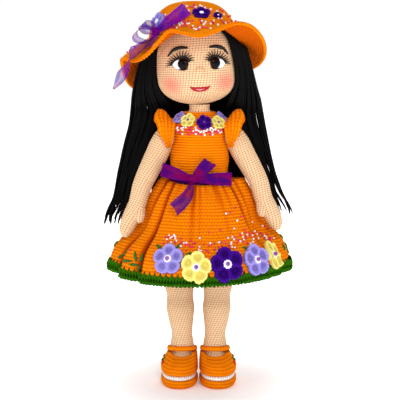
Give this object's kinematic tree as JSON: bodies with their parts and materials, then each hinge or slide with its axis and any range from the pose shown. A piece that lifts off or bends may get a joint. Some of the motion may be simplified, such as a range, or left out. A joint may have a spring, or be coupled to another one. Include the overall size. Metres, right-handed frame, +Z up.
{
  "type": "crocheted doll",
  "caption": "Standing crocheted doll with long yarn hair, a wavy brimmed sun hat, a flared dress with flowers and ribbon bows, and strap shoes.",
  "frame": {"origin": "on the floor under the middle of the doll, at the centre of the bottom of its overall box", "axes": "+Z up, the doll faces -Y, +X to the right as seen from the front"},
  "size_m": [0.1978, 0.1632, 0.3997],
  "materials": {
    "yarn_skin": "matt crocheted cotton yarn",
    "yarn_orange": "matt crocheted cotton yarn",
    "yarn_hair": "loose black yarn",
    "yarn_green": "matt crocheted cotton yarn",
    "yarn_lilac": "matt crocheted cotton yarn",
    "yarn_yellow": "matt crocheted cotton yarn",
    "yarn_purple": "matt crocheted cotton yarn",
    "yarn_white": "matt crocheted cotton yarn",
    "yarn_red": "embroidery thread",
    "organza": "sheer woven ribbon with a slight shine",
    "thread_black": "embroidery thread",
    "eye_plastic": "gloss",
    "felt_white": "felt",
    "dowel_wood": "bare wood",
    "cord_thread": "waxed thread",
    "plain_plastic": "matt"
  },
  "bodies": {
    "torso": {"torso": "yarn_skin", "leg_left": "yarn_skin", "leg_right": "yarn_skin", "pants": "yarn_orange", "dress_bodice": "yarn_orange", "skirt": "yarn_orange", "shoe_sole_left": "yarn_orange", "shoe_sole_right": "yarn_orange", "shoe_upper_left": "yarn_orange", "shoe_upper_right": "yarn_orange", "shoe_strap_left": "yarn_orange", "shoe_strap_right": "yarn_orange", "hair_back": "yarn_hair", "hair_left": "yarn_hair", "hair_right": "yarn_hair", "hem_trim": "yarn_green", "neck_flower_1": "yarn_lilac", "neck_flower_5": "yarn_lilac", "skirt_flower_1": "yarn_lilac", "skirt_flower_4": "yarn_lilac", "neck_flower_2": "yarn_yellow", "neck_flower_4": "yarn_yellow", "skirt_flower_2": "yarn_yellow", "skirt_flower_5": "yarn_yellow", "neck_flower_3": "yarn_purple", "skirt_flower_3": "yarn_purple", "shoe_welt_left": "yarn_white", "shoe_welt_right": "yarn_white", "waist_sash": "organza", "waist_bow": "organza", "neck_dowel": "dowel_wood", "leg_rod_left": "dowel_wood", "leg_rod_right": "dowel_wood", "joint_cord": "cord_thread", "insole_left": "plain_plastic", "insole_right": "plain_plastic", "back_button_1": "plain_plastic", "back_button_2": "plain_plastic"},
    "head": {"head": "yarn_skin", "hair_cap": "yarn_hair", "mouth": "yarn_red", "lashes_left": "thread_black", "lashes_right": "thread_black", "brow_left": "thread_black", "brow_right": "thread_black", "eye_left": "eye_plastic", "eye_right": "eye_plastic", "eye_white_left": "felt_white", "eye_white_right": "felt_white"},
    "hat": {"hat": "yarn_orange", "hat_flower_1": "yarn_lilac", "hat_flower_2": "yarn_purple", "hat_flower_3": "yarn_purple", "hat_bow": "organza"},
    "arm_left": {"arm_left": "yarn_skin", "sleeve_left": "yarn_orange", "joint_disc_left": "plain_plastic"},
    "arm_right": {"arm_right": "yarn_skin", "sleeve_right": "yarn_orange", "joint_disc_right": "plain_plastic"}
  },
  "joints": [
    {"name": "shoulder_left", "type": "hinge", "parent": "torso", "child": "arm_left", "pos_m": [-0.0258, 0, 0.262], "axis": [-1, 0, 0], "range_deg": [0, 75]},
    {"name": "shoulder_right", "type": "hinge", "parent": "torso", "child": "arm_right", "pos_m": [0.0258, 0, 0.262], "axis": [-1, 0, 0], "range_deg": [0, 75]},
    {"name": "head_turn", "type": "hinge", "parent": "torso", "child": "head", "pos_m": [0, 0, 0.2946], "axis": [0, 0, 1], "range_deg": [-20, 20]},
    {"name": "hat_lift", "type": "slide", "parent": "head", "child": "hat", "axis": [0, 0, 1], "range_m": [0, 0.12]}
  ]
}
